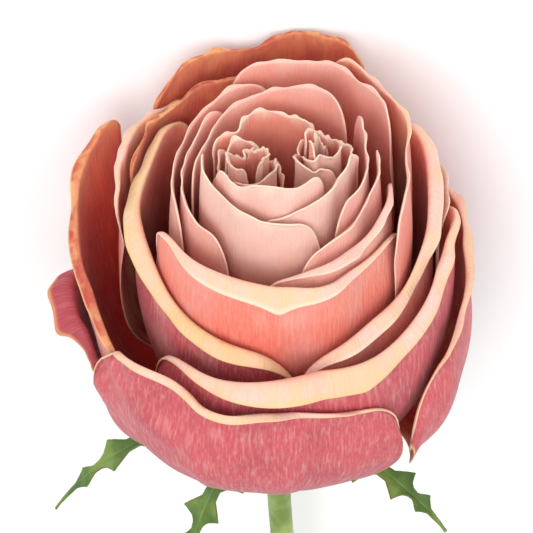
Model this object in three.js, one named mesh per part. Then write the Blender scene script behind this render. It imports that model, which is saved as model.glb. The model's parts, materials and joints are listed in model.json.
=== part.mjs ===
// A cut rose lying on a flat surface: a full cupped bloom, its hip, five leafy sepals and a bare stem.
//
// The bloom is drawn upright and laid down afterwards. Upright, z runs up the bloom's axis from the
// base of the petals, azimuth 0 is the +x side, 90 is the back, which it lies on, and 270 is the
// front, where the low guard petals hang open. Lengths are millimetres and angles are degrees.

import * as THREE from 'three';

// Driving dimensions
const bloomWidth = 84;
const bloomHeight = 70;
const petalThickness = 0.35;
const petalGap = 0.65;
const clawWidthShare = 0.3;
const openedBy = 0.6;
const hipLength = 20;
const hipRadius = 6.4;
const neckLength = 22;
const neckRadius = 4.8;
const stemRadius = 2.6;
const cutEndRadius = 2.9;
const stemLength = 140;
const stemBow = 3;
const sepalThickness = 0.7;
const touchGap = 0.3;

// The claws stand round a dome on top of the hip: the heart's at its top, the guard petals' at its edge.
const domeTop = 6;
const domeFoot = -6;
const domeTopRadius = 1.6;
const domeFootRadius = hipRadius - 0.6;

// The rims: the cup's radius, the guard petals' radius, the height that the petals stand to at the
// back, and how far the outermost one falls open at the front.
const cupRadius = 11.5;
const guardRadius = bloomWidth / 2 - 4;
const standHeight = bloomHeight - 4;
const frontFallShare = 0.443;
const frontFall = bloomHeight * frontFallShare;
const fallPower = 1.5;

// Where the back petals press on the surface: this far from the axis, at this height up the bloom.
const restRadius = guardRadius - 4;
const restHeight = bloomHeight - 10;

// The layer from which petals count as guard petals.
const guardLayer = 0.65;

// A petal's profile: how far its belly swells below the rim, as shares of the rim's radius and
// height, and how the lip flares, crests and comes over.
const bellyLow = 1.14;
const bellyHigh = 1.12;
const bellySag = 0.1;
const bellyRise = 0.62;
const leastBellyRise = 16;
const lipFlare = 1.3;
const lipLift = 0.6;
const petalRoughness = 0.6;
const greenRoughness = 0.55;
const sepalRoughness = 0.65;
const hipFootShare = 0.9;
const hipWaistShare = 0.65;
const bladeNarrowing = 0.45;
const bladeRoot = 0.45;
const bladeSwell = 0.2;
const bendShare = 0.5;
const bendDroop = 0.1;
const reachShare = 0.72;
const sepalDip = 3;
const sepalCupping = 0.12;
const lipCrest = 0.3;
const lipSkew = 0.7;

// How far a petal's middle surface stays off the floor, as a share of its thickness.
const floorClearance = 0.55;

// Facets
const columnAngle = 15;
const wallRows = 5;
const lipRows = 2;
const underRows = 1;
const roundSides = 12;

const colours = {
  heart: 0xf9cdb8,
  cup: 0xf3b3a0,
  guard: 0xc9525a,
  green: 0x7d8f4e,
};

// The petals from the inside out. Each wraps over those before it and stands one even step further
// out. lift raises its rim, tilt raises one end and lowers the other, lip is how far the rim turns
// out and how far its edge drops, tip is how far the middle of the lip is drawn to a point, and
// flare is how much wider than its body the rim opens.
const petals = [
  { name: 'petal_heart_inner_back', azimuth: 100, span: 130, lift: -4, tilt: 0, lip: [0.2, 0.1], tip: 0 },
  { name: 'petal_heart_inner_front', azimuth: 255, span: 120, lift: -1, tilt: 3, lip: [0.2, 0.1], tip: 0 },
  { name: 'petal_heart_front', azimuth: 304, span: 110, lift: -3, tilt: 4, lip: [0.3, 0.1], tip: 0 },
  { name: 'petal_heart_left', azimuth: 235, span: 130, lift: -4, tilt: -3, lip: [0.3, 0.1], tip: 0 },
  { name: 'petal_cup_back', azimuth: 110, span: 160, lift: -3, tilt: -5, lip: [0.3, 0.1], tip: 0 },
  { name: 'petal_cup_right', azimuth: 350, span: 90, lift: -1, tilt: 2, lip: [0.3, 0.1], tip: 0 },
  { name: 'petal_cup_left', azimuth: 180, span: 120, lift: -7, tilt: -3, lip: [0.3, 0.1], tip: 0 },
  { name: 'petal_fold_right', azimuth: 324, span: 90, lift: -3, tilt: 5, lip: [0.5, 0.1], tip: 0 },
  { name: 'petal_cup_outer_left', azimuth: 150, span: 120, lift: -6, tilt: -3, lip: [0.4, 0.1], tip: 0 },
  { name: 'petal_cup_front', azimuth: 308, span: 100, lift: -5, tilt: 4, lip: [1.6, 0.6], tip: 1 },
  { name: 'petal_back_main', azimuth: 66, span: 108, lift: 1, tilt: -4, lip: [0.4, 0.1], tip: 0 },
  { name: 'petal_front_broad', azimuth: 270, span: 150, lift: -5, tilt: 0, lip: [2.8, 1.6], tip: 2.5 },
  { name: 'petal_back_right', azimuth: 19, span: 102, lift: 2, tilt: 0, lip: [0.6, 0.2], tip: 0 },
  { name: 'petal_wrap_left', azimuth: 205, span: 150, lift: -13, tilt: -8, lip: [3.8, 2.2], tip: 0 },
  { name: 'petal_back_left', azimuth: 125, span: 85, lift: -5, tilt: 0, lip: [0.8, 0.3], tip: 0 },
  { name: 'petal_wrap_right', azimuth: 335, span: 125, lift: -10, tilt: 7, lip: [3.4, 2], tip: 0 },
  { name: 'petal_shoulder_left', azimuth: 153, span: 56, lift: -6, tilt: 0, lip: [1.6, 0.8], tip: 0 },
  { name: 'petal_shoulder_right', azimuth: 24, span: 60, lift: -8, tilt: 0, lip: [0.8, 0.3], tip: 0 },
  { name: 'petal_guard_back', azimuth: 98, span: 85, lift: -1, tilt: 0, lip: [0.8, 0.3], tip: 0 },
  { name: 'petal_guard_front', azimuth: 296, span: 150, lift: -8, tilt: 3, lip: [3.8, 2.6], tip: 1.5 },
  {
    name: 'petal_guard_left', azimuth: 196, span: 100, lift: -14, tilt: -11, lip: [2, 1.2], tip: 0,
    shoulder: { start: 0.72, drop: 7 },
    flare: 1.12,
  },
  {
    name: 'petal_guard_point', azimuth: 190, span: 40, lift: -27, tilt: 0, lip: [4, 0.4], tip: 4,
    shoulder: { start: 0.72, drop: 7 },
  },
  {
    name: 'petal_guard_low', azimuth: 258, span: 104, lift: -7, tilt: 0, lip: [1.6, 1.2], tip: 0,
    shoulder: { start: 0.3, drop: 22 },
  },
  { name: 'petal_guard_under', azimuth: 2, span: 100, lift: -16, tilt: 0, lip: [1.2, 0.4], tip: 1.5 },
];

// Where a petal's round shoulders start and how far they drop, unless its own entry says so.
const shoulder = { start: 0.72, drop: 13 };

// How much of its lip a petal keeps at its very ends, and how wide the drawn-out tip is.
const lipKept = 0.2;
const tipWidth = 0.1;

// The heart holds two swirls of small petals side by side, which lean apart as they rise.
const swirls = [
  {
    name: 'petal_swirl_left', count: 5, foot: [-4.6, 0], head: [-5, -0.5],
    inner: 2, step: 1.15, height: 62, turn: 20,
  },
  {
    name: 'petal_swirl_right', count: 4, foot: [6, 0], head: [8.6, 0.5],
    inner: 1.8, step: 1.1, height: 65, turn: 150,
  },
];
const swirlSpan = 190;
const swirlLean = 0.4;
const goldenAngle = 137.5;
const swirlLip = [0.4, 0.1];
const swirlClawRadius = 1.1;
const swirlClawRise = 4;
const swirlClawStep = 0.8;

const sepals = [
  { name: 'sepal_left', azimuth: 192, length: 59, droop: 24 },
  { name: 'sepal_front', azimuth: 234, length: 40, droop: 28 },
  { name: 'sepal_right', azimuth: 322, length: 52, droop: 10 },
  { name: 'sepal_back_right', azimuth: 34, length: 36, droop: 22 },
  { name: 'sepal_back_left', azimuth: 118, length: 34, droop: 26 },
];

// Half the width of a sepal's blade, and its pairs of lobes: how far along, how big and how long.
const bladeHalfWidth = 3.8;
const sepalLobes = [
  { at: 0.38, size: 3.4, reach: 0.07 },
  { at: 0.66, size: 2.4, reach: 0.06 },
];

const radians = THREE.MathUtils.degToRad;
/** Eases from 0 to 1 as x goes from 0 to 1. */
function ease(x) {
  const t = Math.min(Math.max(x, 0), 1);
  return t * t * (3 - 2 * t);
}

/** The radius that the petals made so far reach to, by azimuth and height. */
class Wrap {
  constructor() {
    this.columns = 120;
    this.rows = 80;
    this.lowest = -12;
    this.rowHeight = (bloomHeight + 24) / this.rows;
    this.reach = new Float64Array(this.columns * this.rows);
    this.widened = new Float64Array(this.columns * this.rows);
  }

  cell(grid, column, row) {
    const c = ((column % this.columns) + this.columns) % this.columns;
    const r = Math.min(Math.max(row, 0), this.rows - 1);
    return grid[r * this.columns + c];
  }

  /** Notes one point of a petal's middle surface, in the bloom's upright frame. */
  add(point) {
    const azimuth = Math.atan2(point.y, point.x) / (2 * Math.PI);
    const column = Math.floor((azimuth + 1) * this.columns) % this.columns;
    const row = Math.floor((point.z - this.lowest) / this.rowHeight);
    const index = Math.min(Math.max(row, 0), this.rows - 1) * this.columns + column;
    const reach = Math.hypot(point.x, point.y) + petalThickness / 2;
    this.reach[index] = Math.max(this.reach[index], reach);
  }

  /** Spreads each cell's reach by about one facet, so that no facet cuts across a petal inside it. */
  settle() {
    const sideSpread = Math.ceil((columnAngle * this.columns) / 360) + 2;
    const upSpread = 4;
    for (let row = 0; row < this.rows; row += 1) {
      for (let column = 0; column < this.columns; column += 1) {
        let most = 0;
        for (let down = -upSpread; down <= upSpread; down += 1) {
          for (let side = -sideSpread; side <= sideSpread; side += 1) {
            most = Math.max(most, this.cell(this.reach, column + side, row + down));
          }
        }
        this.widened[row * this.columns + column] = most;
      }
    }
  }

  /** The least radius of the next petal's middle surface at an azimuth and a height. */
  outside(azimuth, height) {
    const across = (azimuth / 360) * this.columns - 0.5;
    const up = (height - this.lowest) / this.rowHeight - 0.5;
    const column = Math.floor(across);
    const row = Math.floor(up);
    const a = across - column;
    const b = up - row;
    const between = (level) => {
      const left = this.cell(this.widened, column, level);
      const right = this.cell(this.widened, column + 1, level);
      return left * (1 - a) + right * a;
    };
    const below = between(row);
    const above = between(row + 1);
    const reach = below * (1 - b) + above * b;
    return reach > 0 ? reach + petalThickness / 2 + petalGap : 0;
  }
}

/** How high a rim stands: level at the back, and falling open towards the front further out. */
function openHeight(layer, azimuth) {
  const towardsFront = (1 - Math.sin(radians(azimuth))) / 2;
  return standHeight - frontFall * layer ** fallPower * towardsFront;
}

/** A rim's azimuth, radius and height at a share of its way, with round shoulders at its ends. */
function rimPoint(plan, share) {
  const across = 2 * share - 1;
  const azimuth = plan.azimuth + (across * plan.span) / 2;
  const edge = Math.max(Math.abs(across) - plan.shoulder.start, 0) / (1 - plan.shoulder.start);
  const fall = plan.shoulder.drop * (1 - Math.sqrt(1 - edge ** 2));
  const height = plan.top(azimuth) + plan.tilt * across - fall;
  const radius = plan.radius + plan.spiral * share;
  return { azimuth, radius, mouth: radius * plan.flare, height, across, edge };
}

/** A point on the wall of a petal, from its claw at 0 to its rim at 1. */
function wallPoint(rim, claw, share) {
  const t = share;
  const s = 1 - t;
  const out = [claw.radius, rim.radius * bellyLow, rim.radius * bellyHigh, rim.mouth];
  const bellyTop = Math.max(rim.height * bellyRise, leastBellyRise);
  const up = [claw.height, claw.height - rim.radius * bellySag, bellyTop, rim.height];
  const weights = [s * s * s, 3 * s * s * t, 3 * s * t * t, t * t * t];
  const radius = weights.reduce((sum, weight, i) => sum + weight * out[i], 0);
  const height = weights.reduce((sum, weight, i) => sum + weight * up[i], 0);
  return { radius, height };
}

/** A point on the lip, which turns out from the rim at 0 to its edge at 1. */
function lipPoint(rim, plan, share) {
  const fade = lipKept + (1 - lipKept) * (1 - rim.across ** 2);
  const point = plan.tip * Math.exp(-Math.abs(rim.across) / tipWidth);
  const roll = plan.lip[0] * fade;
  const out = roll * share ** lipFlare + (point / 2) * share;
  const crest = Math.max(roll - 1, 0) * lipCrest * Math.sin(Math.PI * share ** lipSkew);
  const rise = lipLift * share + crest - (plan.lip[1] * fade + point) * share * share;
  return { radius: rim.mouth + out, height: rim.height + rise };
}

/** How far out the wall's first row above the underside is pushed, as a share of its own radius. */
function underPush(plan, wrap, rim, turnAt) {
  const share = (underRows + 1) / wallRows;
  const at = wallPoint(rim, plan.claw, share);
  return Math.max(wrap.outside(turnAt(share), at.height) / at.radius, 1);
}

/** The middle surface of a petal as rows of points, from the claw up and over the lip. */
function petalSurface(plan, wrap, axis) {
  const columns = Math.max(5, Math.round(plan.span / columnAngle));
  const rows = [];
  for (let row = 0; row <= wallRows + lipRows; row += 1) {
    const points = [];
    for (let column = 0; column <= columns; column += 1) {
      const rim = rimPoint(plan, column / columns);
      const turnAt = (share) => {
        const open = clawWidthShare + (1 - clawWidthShare) * ease(share / openedBy);
        return plan.azimuth + (rim.azimuth - plan.azimuth) * open;
      };
      const wall = row <= wallRows;
      const share = wall ? row / wallRows : (row - wallRows) / lipRows;
      const at = wall ? wallPoint(rim, plan.claw, share) : lipPoint(rim, plan, share);
      const azimuth = wall ? turnAt(share) : rim.azimuth;
      const pushed = row > 0 ? at.radius * underPush(plan, wrap, rim, turnAt) : at.radius;
      const clear = Math.max(rim.mouth, wrap.outside(rim.azimuth, rim.height));
      const wanted = wall ? at.radius : at.radius + clear - rim.mouth;
      const radius = row > underRows ? Math.max(wanted, wrap.outside(azimuth, at.height)) : pushed;
      const lean = ease(at.height / axis.leanHeight);
      const x = axis.foot[0] + (axis.head[0] - axis.foot[0]) * lean;
      const y = axis.foot[1] + (axis.head[1] - axis.foot[1]) * lean;
      const turn = radians(azimuth);
      points.push(new THREE.Vector3(x + radius * Math.cos(turn), y + radius * Math.sin(turn), at.height));
    }
    rows.push(points);
  }
  return rows;
}

/** Calls a function with points spread closely over a surface. */
function walkSurface(rows, visit) {
  const steps = 5;
  for (let row = 0; row < rows.length - 1; row += 1) {
    for (let column = 0; column < rows[0].length - 1; column += 1) {
      for (let i = 0; i <= steps; i += 1) {
        for (let j = 0; j <= steps; j += 1) {
          const low = rows[row][column].clone().lerp(rows[row][column + 1], i / steps);
          const high = rows[row + 1][column].clone().lerp(rows[row + 1][column + 1], i / steps);
          visit(low.lerp(high, j / steps));
        }
      }
    }
  }
}

// The tilt that brings the cut end of the stem down to the surface.
const stemFoot = hipLength + neckLength + stemLength;
const tilt = Math.atan2(restRadius - cutEndRadius, restHeight + stemFoot);

/** Lays a point of the upright rose down on its back, with the bloom facing -Y. */
function layDown(point) {
  const along = -(point.z - restHeight);
  const above = restRadius - point.y;
  const y = along * Math.cos(tilt) + above * Math.sin(tilt);
  const z = above * Math.cos(tilt) - along * Math.sin(tilt);
  return new THREE.Vector3(-point.x, y, z);
}

/** The direction of a line of points at one of them, halfway between those of its two sides. */
function lineDirection(points, index) {
  const here = points[index];
  const before = here.clone().sub(points[Math.max(index - 1, 0)]).normalize();
  const after = points[Math.min(index + 1, points.length - 1)].clone().sub(here).normalize();
  return before.add(after);
}

/** The unit normal of a surface at one of its points. */
function surfaceNormal(rows, row, column) {
  const up = lineDirection(rows.map((points) => points[column]), row);
  return lineDirection(rows[row], column).cross(up).normalize();
}

/** A closed solid of even thickness about a surface, resting on the floor where it would sink in. */
function sheetSolid(surface, thickness, floor = 0) {
  const rows = surface.map((points) => points.map((point) => {
    const laid = layDown(point);
    laid.z = Math.max(laid.z, floor + thickness * floorClearance);
    return laid;
  }));
  const width = rows[0].length;
  const count = width * rows.length;
  const positions = [];
  for (const side of [0.5, -0.5]) {
    rows.forEach((points, row) => points.forEach((point, column) => {
      const moved = point.clone().addScaledVector(surfaceNormal(rows, row, column), side * thickness);
      positions.push(moved.x, moved.y, Math.max(moved.z, 0));
    }));
  }
  const triangles = [];
  const quad = (a, b, c, d) => triangles.push(a, b, c, a, c, d);
  for (let row = 0; row < rows.length - 1; row += 1) {
    for (let column = 0; column < width - 1; column += 1) {
      const a = row * width + column;
      quad(a, a + 1, a + width + 1, a + width);
      quad(count + a, count + a + width, count + a + width + 1, count + a + 1);
    }
  }
  const border = [];
  for (let column = 0; column < width - 1; column += 1) border.push(column);
  for (let row = 0; row < rows.length - 1; row += 1) border.push(row * width + width - 1);
  for (let column = width - 1; column > 0; column -= 1) border.push(count - width + column);
  for (let row = rows.length - 1; row > 0; row -= 1) border.push(row * width);
  border.forEach((a, i) => {
    const b = border[(i + 1) % border.length];
    quad(a, count + a, count + b, b);
  });
  const geometry = new THREE.BufferGeometry();
  geometry.setAttribute('position', new THREE.Float32BufferAttribute(positions, 3));
  geometry.setIndex(triangles);
  return geometry;
}

const group = new THREE.Group();

/** Adds a named sub-part to the rose. */
function addPart(name, geometry, colour, roughness) {
  const material = new THREE.MeshStandardMaterial({ color: colour, roughness, metalness: 0 });
  const mesh = new THREE.Mesh(geometry, material);
  mesh.name = name;
  group.add(mesh);
}

/** Makes one petal over those already made, and notes where it reaches. */
function addPetal(plan, wrap, axis, colour, bloomWrap) {
  const surface = petalSurface(plan, wrap, axis);
  addPart(plan.name, sheetSolid(surface, petalThickness, plan.floor), colour, petalRoughness);
  walkSurface(surface, (point) => bloomWrap.add(point));
  if (wrap !== bloomWrap) {
    walkSurface(surface, (point) => {
      const lean = ease(point.z / axis.leanHeight);
      const x = axis.foot[0] + (axis.head[0] - axis.foot[0]) * lean;
      const y = axis.foot[1] + (axis.head[1] - axis.foot[1]) * lean;
      wrap.add(new THREE.Vector3(point.x - x, point.y - y, point.z));
    });
    wrap.settle();
  }
  bloomWrap.settle();
}

const bloomWrap = new Wrap();
for (const swirl of swirls) {
  const wrap = new Wrap();
  const axis = {
    foot: swirl.foot,
    head: swirl.head,
    leanHeight: bloomHeight * swirlLean,
  };
  for (let i = 0; i < swirl.count; i += 1) {
    const plan = {
      name: `${swirl.name}_${i + 1}`,
      azimuth: swirl.turn + i * goldenAngle,
      span: swirlSpan,
      radius: swirl.inner + i * swirl.step,
      spiral: swirl.step * 0.5,
      top: () => swirl.height - i,
      tilt: 0,
      lip: swirlLip,
      tip: 0,
      flare: 1,
      shoulder,
      claw: { radius: swirlClawRadius, height: domeTop + swirlClawRise - swirlClawStep * i },
      floor: 0,
    };
    addPetal(plan, wrap, axis, colours.heart, bloomWrap);
  }
}

const bloomAxis = { foot: [0, 0], head: [0, 0], leanHeight: bloomHeight };
const restingPetal = petals.findIndex((petal) => petal.name === 'petal_guard_back');
petals.forEach((petal, i) => {
  const layer = i / (petals.length - 1);
  const plan = {
    shoulder,
    flare: 1,
    ...petal,
    radius: cupRadius + (guardRadius - cupRadius) * layer,
    spiral: 0,
    top: (azimuth) => openHeight(layer, azimuth) + petal.lift,
    claw: {
      radius: domeTopRadius + (domeFootRadius - domeTopRadius) * layer + 2 * touchGap + petalThickness,
      height: domeTop + (domeFoot - domeTop) * layer,
    },
    floor: Math.max(restingPetal - i, 0) * (petalThickness + touchGap),
  };
  const colour = layer > guardLayer ? colours.guard : colours.cup;
  addPetal(plan, bloomWrap, bloomAxis, colour, bloomWrap);
});

/** A closed solid of round sections along a centre line, with flat ends. */
function roundSolid(centres, radii) {
  const positions = [];
  const side = new THREE.Vector3(1, 0, 0);
  centres.forEach((centre, i) => {
    const before = centres[Math.max(i - 1, 0)];
    const after = centres[Math.min(i + 1, centres.length - 1)];
    const along = after.clone().sub(before).normalize();
    const up = along.clone().cross(side).normalize();
    for (let k = 0; k < roundSides; k += 1) {
      const turn = (2 * Math.PI * k) / roundSides;
      const point = centre.clone().addScaledVector(side, radii[i] * Math.cos(turn));
      point.addScaledVector(up, radii[i] * Math.sin(turn));
      positions.push(...layDown(point).toArray());
    }
  });
  for (const end of [centres[0], centres[centres.length - 1]]) {
    positions.push(...layDown(end).toArray());
  }
  const triangles = [];
  for (let i = 0; i < centres.length - 1; i += 1) {
    for (let k = 0; k < roundSides; k += 1) {
      const a = i * roundSides + k;
      const b = i * roundSides + ((k + 1) % roundSides);
      triangles.push(a, b, b + roundSides, a, b + roundSides, a + roundSides);
    }
  }
  const first = centres.length * roundSides;
  const lastRing = (centres.length - 1) * roundSides;
  for (let k = 0; k < roundSides; k += 1) {
    const next = (k + 1) % roundSides;
    triangles.push(first, next, k);
    triangles.push(first + 1, lastRing + k, lastRing + next);
  }
  const geometry = new THREE.BufferGeometry();
  geometry.setAttribute('position', new THREE.Float32BufferAttribute(positions, 3));
  geometry.setIndex(triangles);
  return geometry;
}

/** The hip under the bloom: a low dome that carries the petals, a round belly and a neck. */
function hipGeometry() {
  const outline = [
    [domeTopRadius, domeTop],
    [domeFootRadius, domeFoot],
    [hipRadius, domeFoot - 0.3 * (hipLength + domeFoot)],
    [hipRadius * hipFootShare, domeFoot - hipWaistShare * (hipLength + domeFoot)],
    [neckRadius, -hipLength],
  ];
  const radii = outline.map(([radius]) => radius);
  const heights = outline.map(([, height]) => height);
  return roundSolid(heights.map((height) => new THREE.Vector3(0, 0, height)), radii);
}

/** The stem, from the hip's neck to its cut end, bowed a little to one side. */
function stemGeometry() {
  const steps = 14;
  const centres = [];
  const radii = [];
  for (let i = 0; i <= steps; i += 1) {
    const share = i / steps;
    const depth = touchGap + share * (neckLength + stemLength);
    const neck = 1 - ease(depth / neckLength);
    const bow = stemBow * Math.sin(Math.PI * share) ** 2;
    centres.push(new THREE.Vector3(bow, 0, -hipLength - depth));
    const plain = stemRadius + (cutEndRadius - stemRadius) * share;
    radii.push(plain + (neckRadius - stemRadius) * neck);
  }
  return roundSolid(centres, radii);
}

/** The half width of a sepal at a share of its length: a leafy blade with two pairs of lobes. */
function sepalHalfWidth(share) {
  const taper = Math.sqrt(Math.max(1 - share, 0)) * (1 - bladeNarrowing * share);
  const blade = bladeHalfWidth * taper * (bladeRoot + (1 - bladeRoot) * ease(share / bladeSwell));
  const lobes = sepalLobes.reduce((sum, lobe) => {
    const off = (share - lobe.at) / lobe.reach;
    return sum + lobe.size * Math.exp(-off * off);
  }, 0);
  return Math.max(blade + lobes, 0.5);
}

/** A sepal: a leafy blade that leaves the top of the hip and hangs back down beside it. */
function sepalGeometry(plan) {
  const turn = radians(plan.azimuth);
  const outward = new THREE.Vector3(Math.cos(turn), Math.sin(turn), 0);
  const sideways = new THREE.Vector3(-Math.sin(turn), Math.cos(turn), 0);
  const root = hipRadius + touchGap + sepalThickness;
  const route = new THREE.QuadraticBezierCurve3(
    outward.clone().multiplyScalar(root).setZ(domeFoot - 3),
    outward
      .clone()
      .multiplyScalar(root + plan.length * bendShare)
      .setZ(domeFoot - sepalDip - plan.droop * bendDroop),
    outward.clone().multiplyScalar(root + plan.length * reachShare).setZ(domeFoot - sepalDip - plan.droop),
  );
  const steps = 14;
  const rows = [];
  for (let i = 0; i <= steps; i += 1) {
    const share = i / steps;
    const centre = route.getPoint(share);
    const half = sepalHalfWidth(share);
    rows.push([-1, -0.5, 0, 0.5, 1].map((across) => {
      const point = centre.clone().addScaledVector(sideways, across * half);
      point.z += sepalCupping * Math.abs(across) * half;
      return point;
    }));
  }
  return sheetSolid(rows, sepalThickness);
}

addPart('hip', hipGeometry(), colours.green, greenRoughness);
addPart('stem', stemGeometry(), colours.green, greenRoughness);
for (const plan of sepals) {
  addPart(plan.name, sepalGeometry(plan), colours.green, sepalRoughness);
}

// The origin is on the surface, under the middle of the rose.
group.updateMatrixWorld(true);
const box = new THREE.Box3().setFromObject(group);
const centre = box.getCenter(new THREE.Vector3());
group.position.set(-centre.x, -centre.y, -box.min.z);

export default group;
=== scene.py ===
import json
import logging
import math
from dataclasses import dataclass, field
from enum import Enum
from typing import Callable

import bpy
import numpy as np
from mathutils import Matrix, Vector

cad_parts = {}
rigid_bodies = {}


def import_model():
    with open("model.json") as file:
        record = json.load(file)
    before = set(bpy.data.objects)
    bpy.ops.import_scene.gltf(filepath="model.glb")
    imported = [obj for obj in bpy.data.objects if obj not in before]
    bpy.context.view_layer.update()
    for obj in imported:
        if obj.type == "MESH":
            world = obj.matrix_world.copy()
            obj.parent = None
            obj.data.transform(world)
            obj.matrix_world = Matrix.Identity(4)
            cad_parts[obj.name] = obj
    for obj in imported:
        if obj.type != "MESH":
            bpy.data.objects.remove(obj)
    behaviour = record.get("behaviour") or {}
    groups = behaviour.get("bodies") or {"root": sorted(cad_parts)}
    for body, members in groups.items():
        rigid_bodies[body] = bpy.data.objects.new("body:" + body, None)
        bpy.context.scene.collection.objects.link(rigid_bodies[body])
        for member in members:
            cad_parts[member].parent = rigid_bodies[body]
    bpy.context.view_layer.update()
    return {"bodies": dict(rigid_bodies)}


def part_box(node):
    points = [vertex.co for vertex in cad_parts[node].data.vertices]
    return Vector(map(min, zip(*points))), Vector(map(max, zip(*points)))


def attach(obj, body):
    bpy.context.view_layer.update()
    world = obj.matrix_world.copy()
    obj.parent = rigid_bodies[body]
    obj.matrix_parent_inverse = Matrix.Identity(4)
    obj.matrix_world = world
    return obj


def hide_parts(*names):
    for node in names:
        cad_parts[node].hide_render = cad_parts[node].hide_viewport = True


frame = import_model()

log = logging.getLogger("cut_rose")

MILLIMETRE = 0.001
BODY = next(iter(frame["bodies"]))

Colour = tuple[float, float, float]


def srgb(red: int, green: int, blue: int) -> Colour:
    """Turn a screen colour, 0 to 255 in each part, into the linear colour that shaders take."""
    parts = [value / 255 for value in (red, green, blue)]
    return tuple(v / 12.92 if v <= 0.04045 else ((v + 0.055) / 1.055) ** 2.4 for v in parts)


def ease(x: np.ndarray | float) -> np.ndarray | float:
    """Ease from 0 to 1 as x goes from 0 to 1."""
    t = np.clip(x, 0.0, 1.0)
    return t * t * (3 - 2 * t)


def smooth_most(a: np.ndarray, b: np.ndarray, softness: float) -> np.ndarray:
    """Take the larger of two values with a rounded change from one to the other."""
    return (a + b + np.sqrt((a - b) ** 2 + softness**2)) / 2


class Side(Enum):
    """Which face of a petal a finish is for."""

    OUTER = "outer"
    INNER = "inner"


class Family(Enum):
    """The petal families, from the middle of the bloom to its outside."""

    HEART = "heart"
    CUP = "cup"
    WRAP = "wrap"
    GOLD = "gold"
    TAN = "tan"
    # The brown family's dark mauve on both faces is partly the petal's own mauve-brown and partly painted
    # shade from its shaded inner face.
    BROWN = "brown"
    GUARD = "guard"


class Socket:
    """A shader socket that sums, products and differences can be written with."""

    def __init__(self, graph: "Graph", link: bpy.types.NodeSocket) -> None:
        """Wrap one output socket of a graph."""
        self.graph = graph
        self.link = link

    def _math(self, operation: str, first: object, second: object, clamp: bool = False) -> "Socket":
        """Add a Math node on two values."""
        return self.graph.node(
            "ShaderNodeMath", {"operation": operation, "use_clamp": clamp}, {0: first, 1: second}
        )

    def __add__(self, other: object) -> "Socket":
        """Add a value."""
        return self._math("ADD", self, other)

    def __sub__(self, other: object) -> "Socket":
        """Subtract a value."""
        return self._math("SUBTRACT", self, other)

    def __rsub__(self, other: object) -> "Socket":
        """Subtract this from a value."""
        return self._math("SUBTRACT", other, self)

    def __mul__(self, other: object) -> "Socket":
        """Multiply by a value."""
        return self._math("MULTIPLY", self, other)

    def held(self) -> "Socket":
        """Hold this between 0 and 1."""
        return self._math("ADD", self, 0.0, clamp=True)

    def step(self, low: float, high: float) -> "Socket":
        """Ease from 0 at low to 1 at high."""
        settings = {"interpolation_type": "SMOOTHSTEP"}
        return self.graph.node("ShaderNodeMapRange", settings, {0: self, 1: low, 2: high, 3: 0.0, 4: 1.0})


class Graph:
    """The node graph of one material."""

    def __init__(self, name: str) -> None:
        """Start a material with a Principled shader.

        Args:
            name: The material's name.
        """
        self.material = bpy.data.materials.new(name)
        self.material.use_nodes = True
        self.tree = self.material.node_tree
        self.shader = self.tree.nodes["Principled BSDF"]

    def node(self, kind: str, settings: dict[str, object], values: dict, output: int | str = 0) -> Socket:
        """Add any node.

        Args:
            kind: The node's type name.
            settings: Properties of the node, set before its sockets.
            values: Socket name or number to a value, or to a Socket to link.
            output: Which output to hand back.

        Returns:
            The chosen output.
        """
        made = self.tree.nodes.new(kind)
        for key, value in settings.items():
            setattr(made, key, value)
        for key, value in values.items():
            self.plug(made.inputs[key], value)
        return Socket(self, made.outputs[output])

    def plug(self, socket: bpy.types.NodeSocket, value: object) -> None:
        """Link a Socket into an input, or set a plain value on it."""
        if isinstance(value, Socket):
            self.tree.links.new(value.link, socket)
        elif isinstance(value, tuple) and len(value) == 3 and len(socket.default_value) == 4:
            socket.default_value = (*value, 1.0)
        else:
            socket.default_value = value

    def mix(self, amount: Socket | float, first: object, second: object) -> Socket:
        """Mix two colours."""
        made = self.tree.nodes.new("ShaderNodeMix")
        made.data_type = "RGBA"
        for key, value in (("Factor_Float", amount), ("A_Color", first), ("B_Color", second)):
            self.plug(next(s for s in made.inputs if s.identifier == key), value)
        return Socket(self, next(s for s in made.outputs if s.identifier == "Result_Color"))

    def along(self) -> tuple[Socket, Socket]:
        """Return the piece's own map: across it, and from its foot to its edge."""
        uv = self.node("ShaderNodeUVMap", {"uv_map": "UVMap"}, {})
        parts = self.tree.nodes.new("ShaderNodeSeparateXYZ")
        self.tree.links.new(uv.link, parts.inputs[0])
        return Socket(self, parts.outputs[0]), Socket(self, parts.outputs[1])

    def noise(self, scale: float, detail: float, stretch: tuple[float, float, float], mapped: bool) -> Socket:
        """Return a noise from 0 to 1.

        Args:
            scale: How fine it is.
            detail: How many finer layers it has.
            stretch: How much it is drawn out along each direction.
            mapped: Whether it follows the piece's own map instead of its place.
        """
        if mapped:
            source = self.node("ShaderNodeUVMap", {"uv_map": "UVMap"}, {})
        else:
            source = self.node("ShaderNodeTexCoord", {}, {}, "Object")
        placed = self.node("ShaderNodeMapping", {}, {"Vector": source, "Scale": stretch})
        return self.node("ShaderNodeTexNoise", {}, {"Vector": placed, "Scale": scale, "Detail": detail})

    def bump(self, height: Socket, strength: float, distance: float) -> None:
        """Feed a height to the shader's normal."""
        values = {"Height": height, "Strength": strength, "Distance": distance}
        self.set(Normal=self.node("ShaderNodeBump", {}, values))

    def set(self, **values: object) -> None:
        """Set the shader's sockets, with underscores for the spaces in their names."""
        for key, value in values.items():
            self.plug(self.shader.inputs[key.replace("_", " ")], value)


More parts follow.
